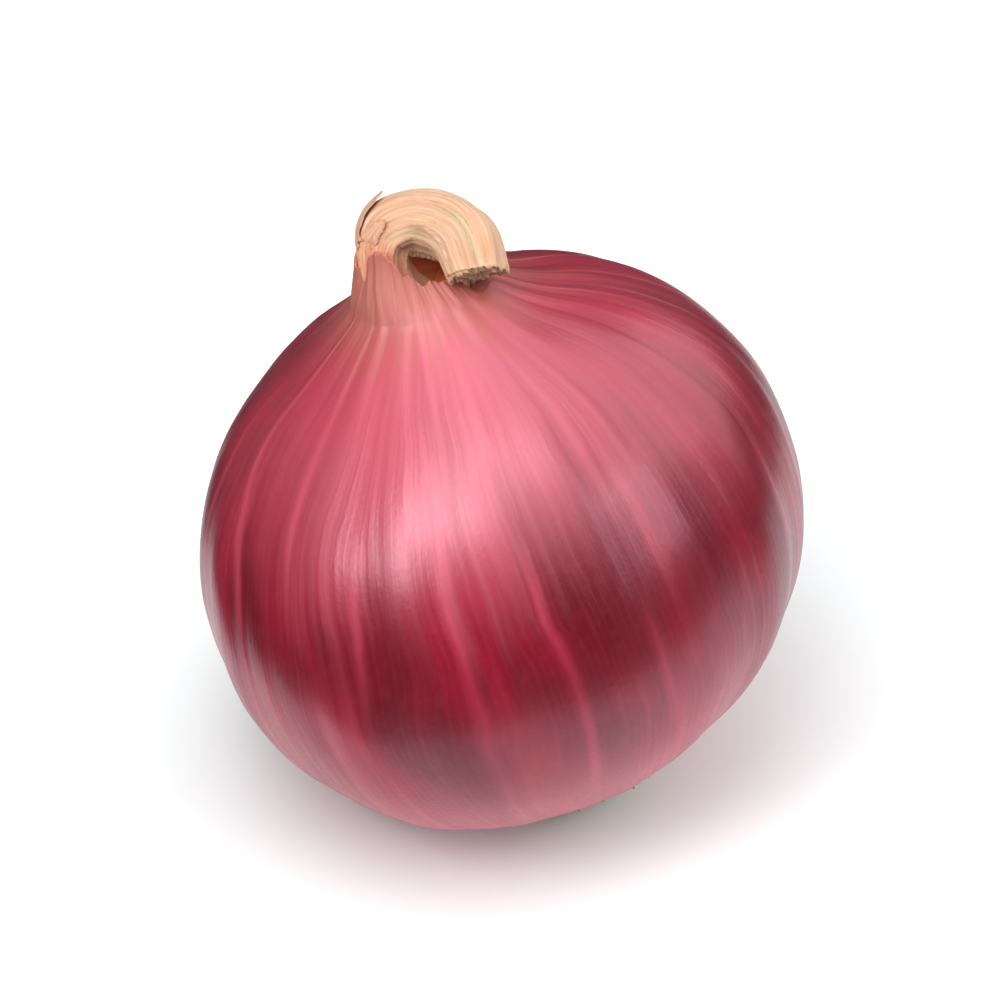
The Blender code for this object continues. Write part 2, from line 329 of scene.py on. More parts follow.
class Wire:
    """A socket of a material's node tree. Arithmetic on it adds Math nodes."""

    def __init__(self, look, socket):
        self.look = look
        self.socket = socket

    def math(self, operation, *values):
        return self.look.node("Math", {"operation": operation}, dict(enumerate(values)))

    def __add__(self, other):
        return self.math("ADD", self, other)

    def __radd__(self, other):
        return self.math("ADD", other, self)

    def __sub__(self, other):
        return self.math("SUBTRACT", self, other)

    def __rsub__(self, other):
        return self.math("SUBTRACT", other, self)

    def __mul__(self, other):
        return self.math("MULTIPLY", self, other)

    def __rmul__(self, other):
        return self.math("MULTIPLY", other, self)

    def __pow__(self, other):
        return self.math("POWER", self, other)

    def __rpow__(self, other):
        return self.math("POWER", other, self)

    def cosine(self):
        return self.math("COSINE", self)


class Look:
    """A material in the making: its node tree and the Principled shader that the nodes feed."""

    def __init__(self, name, **constants):
        self.material = bpy.data.materials.new(name)
        self.material.use_nodes = True
        self.tree = self.material.node_tree
        self.shader = self.tree.nodes["Principled BSDF"]
        for key, value in constants.items():
            self.shader.inputs[key.replace("_", " ")].default_value = value

    def feed(self, socket, value):
        if isinstance(value, Wire):
            self.tree.links.new(value.socket, socket)
        else:
            socket.default_value = value

    def node(self, kind, settings=None, inputs=None, output=0):
        """Adds a node of that kind, sets it up, feeds its sockets, and gives one of its outputs."""
        made = self.tree.nodes.new("ShaderNode" + kind)
        for key, value in (settings or {}).items():
            setattr(made, key, value)
        for key, value in (inputs or {}).items():
            self.feed(made.inputs[key], value)
        return Wire(self, made.outputs[output])

    def shade(self, **wires):
        """Feeds what varies over the surface to the shader."""
        for key, value in wires.items():
            self.feed(self.shader.inputs[key.replace("_", " ")], value)
        return self.material

    def mix(self, first, second, share):
        """A colour between two colours."""
        settings = {"data_type": "RGBA", "clamp_factor": True}
        return self.node("Mix", settings, {0: share, 6: first, 7: second}, 2)

    def part(self, place, axis):
        """One of a place's three numbers."""
        return self.node("SeparateXYZ", {}, {0: place}, axis)

    def rise(self, value, low, high):
        """0 where the value is below low, 1 where it is above high, and an S between them."""
        settings = {"interpolation_type": "SMOOTHSTEP"}
        inputs = {"Value": value, "From Min": low, "From Max": high}
        return self.node("MapRange", settings, inputs)

    def attribute(self, name):
        """A number that mark() kept for each point."""
        return self.node("Attribute", {"attribute_name": name}, output="Fac")

    def kept_place(self, name):
        """A place that mark_place() kept for each point. "upright" is where the point was before
        the onion was stood on its flat spot."""
        return self.node("Attribute", {"attribute_name": name}, output="Vector")

    def spots(self, place, scale, detail=2.0, roughness=0.5):
        """Even noise at a place, with that many spots to the metre."""
        inputs = {"Vector": place, "Scale": scale, "Detail": detail, "Roughness": roughness}
        return self.node("TexNoise", {}, inputs)

    def stretch(self, place, scales):
        """A place with each of its three numbers scaled."""
        return self.node("VectorMath", {"operation": "MULTIPLY"}, {0: place, 1: scales})

    def bump(self, height, strength, distance):
        return self.node("Bump", {}, {"Height": height, "Strength": strength, "Distance": distance})


class OnionPlaces:
    """The places that the skin is painted by: height, distance from the axis, and angle round it.
    The angle sways a little, so streaks and veins aren't ruled lines."""

    def __init__(self, look):
        self.look = look
        self.place = look.kept_place("upright")
        self.height = look.part(self.place, "Z")
        across, deep = look.part(self.place, "X"), look.part(self.place, "Y")
        self.radius = (across * across + deep * deep) ** 0.5
        sway = look.spots(self.place, 42, 1.0) * 0.20 + look.spots(self.place, 150, 1.0) * 0.03
        self.angle = deep.math("ARCTAN2", deep, across) + sway
        sides = {"X": self.angle.cosine(), "Y": self.angle.math("SINE", self.angle)}
        self.around = look.node("CombineXYZ", {}, sides)

    def streaks(self, count, wander, seed, detail=2.0, roughness=0.5):
        """Noise in streaks from the neck to the roots, about count of them round the onion."""
        reach = count / math.tau
        lift = self.look.node("CombineXYZ", {}, {"Z": self.height * wander + seed})
        inputs = {0: self.around, 1: (reach, reach, reach), 2: lift}
        place = self.look.node("VectorMath", {"operation": "MULTIPLY_ADD"}, inputs)
        inputs = {"Vector": place, "Scale": 1.0, "Detail": detail, "Roughness": roughness}
        return self.look.node("TexNoise", {}, inputs)

    def veins(self, count, drift, sharpness, turn=0.0):
        """Fine lines from the neck to the roots, exactly count of them: 1 on a line and 0 between.
        Drift is how unevenly they lie, and turn is where they start, in radians of their wave."""
        uneven = self.streaks(count / 5, 14, count * 0.37, 1.0) * drift
        wave = self.angle * count + uneven + turn
        return (wave.cosine() * 0.5 + 0.5) ** sharpness


def skin_look(colours):
    """Dry outer skin: crimson with paler streaks and veins from neck to root, and a satin sheen."""
    look = Look(
        "crimson_onion_skin",
        Sheen_Weight=0.04,
        Sheen_Roughness=0.4,
        Sheen_Tint=(1.0, 0.66, 0.78, 1.0),
        Coat_Roughness=0.26,
        Coat_IOR=1.5,
        Specular_IOR_Level=0.85,
        Specular_Tint=(1.0, 0.72, 0.86, 1.0),
    )
    on = OnionPlaces(look)
    # Broad fields of crimson, deep crimson and scarlet
    broad = look.rise(on.streaks(13, 24, 3.1, 2.0, 0.55), 0.35, 0.60)
    colour = look.mix(colours.deep, colours.crimson, broad)
    red = look.rise(on.streaks(7, 34, 8.4, 2.0), 0.46, 0.66)
    colour = look.mix(colour, colours.scarlet, red * 0.8)
    # Darker clouds, pale streaks, ribs and veins
    patch = look.rise(look.spots(on.place, 30, 2.0), 0.42, 0.62)
    pale = look.rise(on.streaks(26, 13, 21.7, 2.0, 0.6), 0.55, 0.70)
    clouds = look.spots(look.stretch(on.place, (1.0, 1.0, 0.55)), 95, 2.0)
    dusk = look.rise(clouds, 0.47, 0.66)
    colour = look.mix(colour, colours.deep, dusk * 0.45)
    colour = look.mix(colour, colours.streak, pale * patch * 0.28)
    ribs = on.veins(19, 9, 22, 2.9) * look.rise(on.streaks(11, 30, 60.0, 1.0), 0.40, 0.62)
    colour = look.mix(colour, colours.streak, ribs * 0.38)
    coarse = on.veins(84, 9, 7) * look.rise(on.streaks(40, 60, 70.0, 1.0), 0.38, 0.70)
    open_skin = look.rise(on.radius, 0.010, 0.024)
    fine = on.veins(230, 9, 3) * open_skin
    veins = coarse + fine * 0.35
    colour = look.mix(colour, colours.streak, coarse * 0.08 + fine * 0.03)
    threads = on.streaks(150, 34, 5.5, 1.0, 0.6)
    colour = look.mix(colour, colours.deep, look.rise(threads, 0.50, 0.72) * 0.40)
    mottle = look.rise(look.spots(on.place, 520, 2.0, 0.6), 0.48, 0.72)
    colour = look.mix(colour, colours.streak, mottle * 0.05)
    # Paler towards the neck: the shoulder's own paler skin, with a painted sheen on the side
    # nearest the front. Paler towards the roots, and the collar, the fringe and the cup
    uneven = (threads - 0.5) * 0.006 + pale * 0.002 + ribs * 0.002
    neckward = look.rise(on.height + uneven * 2 + broad * 0.004, 0.006, 0.031)
    # Painted sheen: near the neck the skin is made paler still on the front, where the sheen lies
    front = on.angle + PAINTED_SHEEN_SIDE
    painted_sheen = front.cosine() * 0.5 + 0.5
    colour = look.mix(colour, colours.shoulder, neckward * (painted_sheen**5 * 0.60 + 0.27))
    # Painted bounce light: the paler colour near the roots is partly the skin's own and partly
    # light from the floor painted in
    rootward = look.rise(uneven - on.height, 0.009, 0.028)
    colour = look.mix(colour, colours.base, rootward * 0.70)
    collar = look.rise(on.height + uneven * 1.2, 0.0265, 0.0345)
    colour = look.mix(colour, colours.collar, collar * 0.95)
    underside = look.rise(0 - on.height, 0.020, 0.024)
    fringe = (1 - look.rise(on.radius + uneven, 0.0092, 0.0122)) * underside
    colour = look.mix(colour, colours.fringe, fringe * 0.85)
    inside = look.attribute("inside")
    colour = look.mix(colour, colours.hollow, inside * 0.94)
    # Relief and gloss
    grain = look.spots(on.place, 1900, 1.0)
    furrows = veins * 0.2 + threads * 0.3 + on.streaks(48, 20, 33.0, 1.0) * 2.2
    relief = furrows * (open_skin * 0.8 + 0.2) + grain * 0.2 + ribs * 0.7
    rough = 0.35 + dusk * 0.05 + (threads - 0.5) * 0.14 + collar * 0.22 + (grain - 0.5) * 0.10
    return look.shade(
        Base_Color=colour,
        Roughness=rough,
        Coat_Weight=0.3 * (1 - collar) * (1 - inside) * (1 - fringe),
        Normal=look.bump(relief, 0.45, 0.00022),
    )


def neck_look(colours):
    """Dried sheaths: cream with straw fibres, peach where they come out of the collar."""
    look = Look("dried_neck", Sheen_Weight=0.1, Sheen_Roughness=0.6, Specular_IOR_Level=0.35)
    place = look.kept_place("upright")
    rolled = look.kept_place("rolled")
    along = look.part(rolled, "Z")
    fibres = look.attribute("fibre")
    shadow = look.attribute("shadow")
    clouds = look.spots(place, 330, 3.0, 0.55)
    grain = look.spots(place, 2600, 3.0, 0.6)
    lines = look.spots(look.stretch(rolled, (11.0, 11.0, 5.0)), 1.0, 4.0, 0.65)
    bands = look.spots(look.stretch(rolled, (3.2, 3.2, 4.0)), 1.0, 2.0)
    colour = look.mix(colours.cream, colours.straw, look.rise(clouds, 0.42, 0.68) * 0.6)
    lowness = 1 - look.rise(along + (fibres - 0.5) * 0.12 + (clouds - 0.5) * 0.25, 0.18, 0.60)
    colour = look.mix(colour, colours.peach, lowness * 0.85)
    green = look.rise(bands + (lines - 0.5) * 0.5, 0.50, 0.66) * (1 - lowness)
    colour = look.mix(colour, colours.sage, green * 0.6)
    colour = look.mix(colour, colours.pith, look.rise(1 - lines, 0.50, 0.64) * 0.5)
    dark = look.rise(lines + (grain - 0.5) * 0.2, 0.56, 0.72)
    colour = look.mix(colour, colours.bark_and_shade, dark * 0.5)
    # Painted shade: the cut face's grooves are darkened towards the bark colour
    colour = look.mix(colour, colours.bark_and_shade, shadow * 0.28)
    relief = grain * 0.4 + fibres * 0.7 + clouds * 0.4 + lines * 1.6
    return look.shade(
        Base_Color=colour,
        Roughness=0.62 + (grain - 0.5) * 0.3,
        Normal=look.bump(relief, 0.5, 0.00025),
    )


def root_look(colours):
    """Dried roots: tan and cream fibres with dark, dusty patches."""
    look = Look("dried_roots", Specular_IOR_Level=0.25)
    place = look.kept_place("upright")
    clouds = look.spots(place, 260, 3.0, 0.6)
    grain = look.spots(place, 2400, 4.0, 0.6)
    tone = look.attribute("tone")
    colour = look.mix(colours.root, colours.root_pale, look.rise(tone, 0.35, 0.9))
    colour = look.mix(colour, colours.bark_and_shade, look.rise(clouds + grain * 0.25, 0.60, 0.88) * 0.7)
    return look.shade(
        Base_Color=colour,
        Roughness=0.8 + (grain - 0.5) * 0.2,
        Normal=look.bump(grain + clouds, 0.6, 0.0002),
    )


def floor_look(colour):
    """A pale, matt surface with a trace of unevenness."""
    look = Look("pale_floor", Roughness=0.55, Specular_IOR_Level=0.25)
    place = look.node("TexCoord", output="Object")
    tone = look.rise(look.spots(place, 7, 2.0), 0.3, 0.7)
    shade = tuple(c * 0.97 for c in colour[:3]) + (1.0,)
    return look.shade(Base_Color=look.mix(colour, shade, tone))


def body_height(shape, radius):
    """Height of the bare rounded body above the equator, at that distance from the axis."""
    share = (radius / shape.equator_radius) ** shape.roundness
    return shape.half_height * np.maximum(0.0, 1 - share) ** (1 / shape.roundness)


def shoulder_height(shape, radius):
    """The upper side: the rounded body with the skin's sweep up towards the neck."""
    sweep = SWEEP_RISE * np.exp(-(radius - COLLAR_FOOT_RADIUS) / SWEEP_WIDTH)
    return body_height(shape, radius) + sweep


def skin_section(shape):
    """The skin's half section as rows of (radius, height, inside the cup), from the cup's middle
    up over the collar's rim and down the outer side to the middle of the root dip."""
    foot = np.array((COLLAR_FOOT_RADIUS, float(shoulder_height(shape, COLLAR_FOOT_RADIUS))))
    bend = np.array((COLLAR_BEND_RADIUS, foot[1] + COLLAR_BEND_RISE))
    rim = np.array((COLLAR_RIM_RADIUS, COLLAR_TOP))
    t = np.linspace(0, 1, COLLAR_ROWS)[:, None]
    outer = foot * (1 - t) ** 2 + bend * 2 * t * (1 - t) + rim * t * t
    wall = COLLAR_WALLS[0] + (COLLAR_WALLS[1] - COLLAR_WALLS[0]) * t[:, 0]
    cup_radius = outer[0, 0] - 2 * wall[0]
    rows = [(r, CUP_FLOOR, 1.0) for r in np.linspace(0.15, 1, CUP_ROWS) * cup_radius]
    rows += [(p[0] - w, p[1], 1.0) for p, w in zip(outer, wall)]
    rows.append((rim[0] - wall[-1] / 2, rim[1] + 0.12 * MM, 0.3))
    rows += [(p[0], p[1], 0.0) for p in outer[::-1]]
    shoulder_end = math.acos(COLLAR_FOOT_RADIUS / shape.equator_radius)
    base_end = math.acos(DIP_RIM_RADIUS / shape.equator_radius)
    for angle in np.linspace(shoulder_end, -base_end, BODY_ROWS)[1:]:
        radius = shape.equator_radius * math.cos(angle)
        high = shoulder_height(shape, radius) if angle > 0 else -body_height(shape, radius)
        rows.append((radius, float(high), 0.0))
    rows.append((DIP_RADIUS * 1.01, DIP_ROOF - 0.5 * MM, 0.0))
    rows += [(r, DIP_ROOF, 0.0) for r in (DIP_RADIUS, DIP_RADIUS * 0.6, DIP_RADIUS * 0.2)]
    return np.array(rows)


def stops_round(stops, angles):
    """The values of a table of (degrees, value) at each angle round the onion."""
    degrees = (np.degrees(angles) + 180) % 360 - 180
    wound = [(d + lap, value) for lap in (-360, 0, 360) for d, value in stops]
    values = np.zeros_like(angles)
    for (low, first), (high, last) in zip(wound, wound[1:]):
        here = (degrees >= low) & (degrees < high)
        values = np.where(here, first + (last - first) * smooth(low, high, degrees), values)
    return values


def skin_points(shape):
    """The skin's grid of points, and for each whether it is inside the cup."""
    section = skin_section(shape)
    angles = np.linspace(0, math.tau, SKIN_SIDES, endpoint=False)
    radius, height, inside = (np.repeat(c[:, None], SKIN_SIDES, 1) for c in section.T)
    slope = np.gradient(section[:, :2], axis=0)
    slope /= np.linalg.norm(slope, axis=1)[:, None] + 1e-12
    outward, upward = -slope[:, 1:2], slope[:, :1]
    places = section[:, 1] / shape.equator_radius
    body = smooth(SMOOTH_WITHIN, FULL_RELIEF_BEYOND, radius)
    pleated = smooth(0.024, 0.012, radius) * (1 - inside)
    above = smooth(0.0, 0.010, height)
    below = smooth(0.0, -0.010, height)
    ridges = streak_noise(angles, places, 44, 1.3, 7.0)
    facets = streak_noise(angles, places, 15, 0.9, 3.0)
    veins = 1 - 2 * np.abs(streak_noise(angles, places, 78, 1.6, 11.0))
    lift = body * (shape.vein_depth * (veins + 2 * ridges) + shape.facet_depth * facets)
    pleats = streak_noise(angles, places, 34, 1.5, 15.0) + 0.5 * ridges
    lift += pleated * shape.pleat_depth * pleats * (above + 0.8 * below)
    grown = radius * (1 + body * waves(SWELLS, angles)) + body * waves(RIBS, angles) * MM
    grown += lift * outward
    high = height + lift * upward
    high += body * shape.skew * grown * np.cos(angles)
    foot = float(shoulder_height(shape, COLLAR_FOOT_RADIUS))
    rise = np.clip((height - foot) / (COLLAR_TOP - foot), 0, None)
    tears = 1.3 * streak_noise(angles, [0], 15, 0, 30.0)[0]
    tears += 0.5 * streak_noise(angles, [0], 47, 0, 31.0)[0]
    tears += 0.2 * streak_noise(angles, [0], 130, 0, 32.0)[0]
    torn = (stops_round(RIM_HEIGHTS, angles) + waves(RIM_TEARS, angles) + shape.fray * tears) * MM
    high = np.where(height > foot, foot + rise * (torn - foot), high)
    shift = smooth(0, 1, (high - foot) / (COLLAR_TOP - foot))
    curl = streak_noise(angles, [0], 17, 0, 33.0)[0] * 0.35 * MM * rise**2
    fold = streak_noise(angles, places, 40, 3.0, 35.0) * 0.22 * MM * smooth(0, 0.4, rise)
    lean = stops_round(RIM_LEANS, angles) * MM * smooth(-0.1, 1.0, rise)
    collar = curl + fold * (1 - inside * 0.5) - lean
    grown += np.where(height > foot, collar, 0)
    points = np.stack(
        (
            grown * np.cos(angles) + COLLAR_LEAN[0] * shift,
            grown * np.sin(angles) + COLLAR_LEAN[1] * shift,
            high,
        ),
        -1,
    )
    dents = spot_noise(points, 0.011, 5.0)
    points[..., 2] += body * dents * shape.dent_depth * np.sign(upward)
    points[..., 0] += body * dents * shape.dent_depth * np.cos(angles) * np.abs(outward)
    points[..., 1] += body * dents * shape.dent_depth * np.sin(angles) * np.abs(outward)
    return points, inside


def between(stations, t):
    """The stations' values at t from 0 to 1, on a smooth curve through all of them."""
    place = t * (len(stations) - 1)
    i = min(int(place), len(stations) - 2)
    u = place - i
    picked = [stations[min(max(k, 0), len(stations) - 1)] for k in (i - 1, i, i + 1, i + 2)]
    a, b, c, d = np.array(picked)
    return 0.5 * (
        2 * b + (c - a) * u + (2 * a - 5 * b + 4 * c - d) * u**2 + (3 * b - a - 3 * c + d) * u**3
    )


def sheath_swell(angles, along):
    """How far the rolled sheaths stand out round the neck: a step at each free edge."""
    swell = np.zeros_like(angles)
    for number, edge in enumerate(SHEATH_EDGES):
        sway = 0.16 * noise.noise((along * 5, number * 9.0, 0))
        past = (angles - edge - SHEATH_TWIST * along - sway) % math.tau
        swell += SHEATH_STEP * np.maximum(0.0, 1 - past / SHEATH_SPAN)
    for count, size, turn in NECK_CREASES:
        swell += size * np.cos(count * angles + turn * along)
    return swell


def rolled_place(angles, along):
    """Places on the unrolled sheath, for its fibres: two numbers round it and one along it."""
    return np.stack(np.broadcast_arrays(np.cos(angles), np.sin(angles), along), -1)


def neck_points():
    """The neck's grid of points from its cut face back to the cup, with three marks for each:
    its place on the rolled sheath, its fibre, and its painted shadow in the cut face's grooves."""
    values = [between(NECK_STATIONS, i / (NECK_RINGS - 1)) for i in range(NECK_RINGS)]
    centres = [v[:3] * MM for v in values]
    angles = np.linspace(0, math.tau, NECK_SIDES, endpoint=False)
    across = np.array((1.0, 0, 0))
    up = np.array((0, 0, 1.0))
    grid, rolled, fibres, shadows = [], [], [], []
    for i, value in enumerate(values):
        along = i / (NECK_RINGS - 1)
        ahead = centres[min(i + 1, NECK_RINGS - 1)] - centres[max(i - 1, 0)]
        ahead /= np.linalg.norm(ahead)
        ahead = up + (ahead - up) * smooth(0, 0.3, along)
        ahead /= np.linalg.norm(ahead)
        across = across - ahead * across.dot(ahead)
        across /= np.linalg.norm(across)
        over = np.cross(ahead, across)
        width, depth = value[3] * MM, value[4] * MM
        fibre = streak_noise(angles, [along], 42, 4.0, 50.0)[0]
        crinkle = streak_noise(angles, [along], 12, 7.0, 60.0)[0]
        swell = 1 + sheath_swell(angles, along) * smooth(0, 0.25, along)
        swell += (0.05 * crinkle + 0.035 * fibre) * smooth(0.0, 0.2, along)
        ring = (
            centres[i]
            + np.outer(width * swell * np.cos(angles), across)
            + np.outer(depth * swell * np.sin(angles), over)
        )
        slant = CUT_SLANT * (0.5 - 0.5 * np.cos(angles)) * float(smooth(0.75, 1.0, along))
        grid.append(ring + np.outer(slant, ahead))
        rolled.append(rolled_place(angles, along))
        fibres.append(0.5 + 0.9 * fibre)
        shadows.append(np.zeros(NECK_SIDES))
    rim = grid[-1]
    middle = rim.mean(0)
    for number, (share, lift, shadow) in enumerate(CUT_RINGS):
        fray = 0.5 * streak_noise(angles, [number], 36, 0.3, 70.0)[0]
        fray += 0.4 * streak_noise(angles, [number], 90, 0.3, 71.0)[0]
        buckle = 0.35 * np.cos(2 * angles + number) + 0.8 * fray
        wobble = 1 + 0.05 * np.cos(3 * angles + number * 0.9)
        ring = middle + (rim - middle) * (share * np.where(share < 0.9, wobble, 1.0))[:, None]
        ring = ring + np.outer((0.6 * lift + buckle * share) * MM, ahead)
        grid.append(ring)
        rolled.append(rolled_place(angles, 1.0 + 0.02 * number))
        fibres.append(np.full(NECK_SIDES, 0.45) + 0.3 * fray)
        shadows.append(np.full(NECK_SIDES, shadow))
    return tuple(np.array(rows)[::-1] for rows in (grid, rolled, fibres, shadows))


def scrap_points(neck, start, end, middle, reach, lift, seed):
    """A thin scrap of sheath that lies on the neck and lifts off at its tip, as a flat tube.
    Start and end are shares of the neck's length, middle and reach are angles round it."""
    over = [j / SCRAP_HALF_SIDES for j in range(-SCRAP_HALF_SIDES, SCRAP_HALF_SIDES + 1)]
    rings = []
    for i in range(SCRAP_RINGS):
        t = i / (SCRAP_RINGS - 1)
        row = (start + (end - start) * t) * (NECK_RINGS - 1)
        low = min(int(row), NECK_RINGS - 2)
        ring = neck[low] + (neck[low + 1] - neck[low]) * (row - low)
        centre = ring.mean(0)
        torn = 1 + 0.45 * noise.noise((t * 9, seed, 0)) + 0.25 * noise.noise((t * 31, seed, 1))
        half = reach * torn * math.sqrt(max(0.0, 1 - t**2)) + 0.03
        raised = (0.35 * float(smooth(0, 0.3, t)) - 0.25 + lift * t**4) * MM
        line = []
        for share in over:
            place = (middle + half * share + 0.12 * math.sin(3 * t + seed)) % math.tau
            j = place / math.tau * NECK_SIDES
            a, b = ring[int(j) % NECK_SIDES], ring[(int(j) + 1) % NECK_SIDES]
            point = a + (b - a) * (j - int(j))
            away = (point - centre) / np.linalg.norm(point - centre)
            cup = (0.35 * share * share + 0.12 * noise.noise((share * 2, t * 7, seed))) * t * lift
            line.append((point + away * (raised + cup * MM), away))
        inner = [p for p, away in line]
        outer = [p + away * SCRAP_THICKNESS for p, away in line]
        rings.append(inner + outer[::-1])
    return np.array(rings)


def plate_height(radius):
    """Height of the root plate's under side at that distance from the axis."""
    edge = PLATE_TOP - 1.0 * MM
    return PLATE_CROWN + (edge - PLATE_CROWN) * (radius / PLATE_RADIUS) ** 2


def plate_points():
    """The root plate: a low crusty dome that hangs in the bulb's dip."""
    angles = np.linspace(0, math.tau, PLATE_SIDES, endpoint=False)
    rows = [(s * PLATE_RADIUS, PLATE_TOP) for s in (0.3, 0.9)]
    rows += [(PLATE_RADIUS, PLATE_TOP - 0.7 * MM)]
    radii = np.linspace(0.95, 0.03, PLATE_ROWS) * PLATE_RADIUS
    rows += [(r, plate_height(r)) for r in radii]
    section = np.array(rows)
    radius, height = (np.repeat(c[:, None], PLATE_SIDES, 1) for c in section.T)
    points = np.stack((radius * np.cos(angles), radius * np.sin(angles), height), -1)
    crust = spot_noise(points, 0.0013, 90.0) * 0.35 + spot_noise(points, 0.0045, 91.0) * 0.5
    points[..., 2] += np.where(height < PLATE_TOP - 0.5 * MM, crust, 0) * MM
    return points


def root_line(dice, foot, outward, length, thickness, stand, onion):
    """Points along one root: out of the plate, away from the axis, above the floor and clear of
    the bulb. It ends early where they leave it no room."""
    floor_up = stand.to_3x3().inverted() @ UP
    sideways = outward.cross(UP)
    joints = onion.roots.joints
    curl = dice.uniform(-onion.roots.curl, onion.roots.curl)
    kinks = [Vector([dice.uniform(-1, 1) for _ in range(3)]) for _ in range(joints)]
    points = [foot - outward * 0.6 * MM + UP * 0.3 * MM]
    drift = Vector()
    for joint, kink in enumerate(kinks, 1):
        t = joint / joints
        drift = drift * 0.7 + kink * (length * 0.06)
        point = foot + outward * (length * 0.75 * t) - UP * (length * (0.8 * t - 0.25 * t * t))
        point += sideways * (curl * length * t * t) + drift
        low = 1.2 * thickness - (stand @ point).z
        if low > 0:
            point += floor_up * low
        radius = math.hypot(point.x, point.y)
        bulb = -float(body_height(onion.shape, radius))
        lid = bulb if radius > PLATE_RADIUS - thickness else PLATE_TOP
        if lid - point.z < thickness + 0.3 * MM:
            break
        points.append(point)
    return points


def root_tuft(onion, stand):
    """All the dried roots as one mesh, with a tone for each point of it."""
    roots = onion.roots
    dice = random.Random(roots.seed)
    curve = bpy.data.curves.new("root_lines", "CURVE")
    curve.dimensions = "3D"
    curve.bevel_depth = 1.0
    curve.bevel_resolution = 1
    curve.use_fill_caps = True
    for number in range(roots.count):
        radius = PLATE_RADIUS * 0.96 * math.sqrt((number + 0.5) / roots.count)
        angle = number * math.pi * (3 - math.sqrt(5)) + dice.uniform(-0.2, 0.2)
        outward = Vector((math.cos(angle), math.sin(angle), 0))
        swerve = dice.uniform(-0.5, 0.5)
        heading = Matrix.Rotation(swerve, 3, "Z") @ outward
        foot = outward * radius + UP * plate_height(radius)
        length = dice.uniform(roots.shortest, roots.longest) * (0.55 + 0.45 * radius / PLATE_RADIUS)
        thickness = dice.uniform(roots.thinnest, roots.thickest)
        points = root_line(dice, foot, heading, length, thickness, stand, onion)
        if len(points) < 3:
            continue
        line = curve.splines.new("POLY")
        line.points.add(len(points) - 1)
        for step, (knot, point) in enumerate(zip(line.points, points)):
            knot.co = (*point, 1)
            taper = 1 - 0.55 * step / (len(points) - 1)
            knot.radius = thickness * taper * dice.uniform(0.85, 1.15)
    holder = bpy.data.objects.new("root_lines", curve)
    bpy.context.scene.collection.objects.link(holder)
    bpy.context.view_layer.update()
    graph = bpy.context.evaluated_depsgraph_get()
    mesh = bpy.data.meshes.new_from_object(holder.evaluated_get(graph))
    bpy.data.objects.remove(holder)
    bpy.data.curves.remove(curve)
    mesh.name = "dried_roots"
    mesh.shade_smooth()
    points = above_floor(np.array([corner.co for corner in mesh.vertices]), stand, 0.02 * MM)
    mesh.vertices.foreach_set("co", points.reshape(-1))
    mark(mesh, "tone", 0.5 + 0.9 * spot_noise(points, 0.0022, 17.0))
    return mesh


def length(name, description, default):
    """A length that a user would change."""
    return FloatProperty(
        name=name, description=description, default=default, unit="LENGTH", precision=6
    )


def power(name, description, default):
    """A light's power."""
    return FloatProperty(name=name, description=description, default=default, unit="POWER")


def hue(name, description, default):
    """A colour that a user would change."""
    settings = {"size": 4, "subtype": "COLOR", "min": 0, "max": 1}
    return FloatVectorProperty(
        name=name, description=description, default=(*default, 1.0), **settings
    )


class OnionShape(bpy.types.PropertyGroup):
    """The bulb's size and the relief of its skin"""

    equator_radius: length(
        "Equator radius", "Half the bulb's greatest width, as in the CAD model", 33.0 * MM
    )
    half_height: length(
        "Half height", "From the widest belt to the bare body's top, as in the CAD model", 29.3 * MM
    )
    roundness: FloatProperty(
        name="Roundness", description="2 is an ellipse, and more is fuller", default=2.1
    )
    skew: FloatProperty(
        name="Skew", description="How much higher the widest belt runs on the right", default=0.045
    )
    vein_depth: length("Vein depth", "How far the fine veins stand out", 0.035 * MM)
    facet_depth: length(
        "Facet depth", "How far the long flat facets between ribs rise and fall", 0.22 * MM
    )
    pleat_depth: length(
        "Pleat depth", "How deep the skin gathers near the neck and the roots", 0.26 * MM
    )
    dent_depth: length("Dent depth", "How deep the soft dents of the skin are", 0.20 * MM)
    fray: FloatProperty(
        name="Fray", description="How ragged the collar's torn rim is", default=1.0
    )


class OnionColours(bpy.types.PropertyGroup):
    """The onion's colours"""

    deep: hue("Deep crimson", "The skin's darkest streaks", (0.128, 0.002, 0.010))
    crimson: hue("Crimson", "Most of the skin", (0.240, 0.002, 0.020))
    scarlet: hue("Scarlet", "The skin's redder patches", (0.310, 0.002, 0.015))
    streak: hue("Streak", "Pale streaks, ribs and veins", (0.540, 0.054, 0.112))
    # The shoulder colour is the skin's own paler top, and it also carries a painted sheen on the
    # front
    shoulder: hue("Shoulder", "The skin where it draws up to the neck", (0.560, 0.135, 0.175))
    # The base colour is partly the skin's own paler base and partly painted bounce light from the
    # floor
    base: hue("Base", "The skin near the roots", (0.620, 0.076, 0.122))
    collar: hue("Collar", "The collar's dry rim", (0.370, 0.125, 0.085))
    fringe: hue("Fringe", "Torn skin round the root plate", (0.330, 0.170, 0.080))
    hollow: hue("Hollow", "Inside the collar", (0.800, 0.270, 0.105))
    cream: hue("Cream", "The neck's sheaths", (0.520, 0.312, 0.208))
    straw: hue("Straw", "Warmer patches of the neck", (0.550, 0.280, 0.150))
    peach: hue("Peach", "The neck where it leaves the collar", (0.560, 0.220, 0.130))
    sage: hue("Sage", "Grey-green layers of the neck", (0.480, 0.420, 0.240))
    pith: hue("Pith", "Palest fibres of the neck", (0.720, 0.520, 0.370))
    # Bark is the dark lines' own colour, and it also serves as the painted shade in the neck's
    # cut-face grooves
    bark_and_shade: hue("Bark", "Dark lines and grooves", (0.210, 0.105, 0.035))
    root: hue("Root", "Most of the roots", (0.500, 0.300, 0.130))
    root_pale: hue("Pale root", "The palest roots", (0.760, 0.590, 0.360))


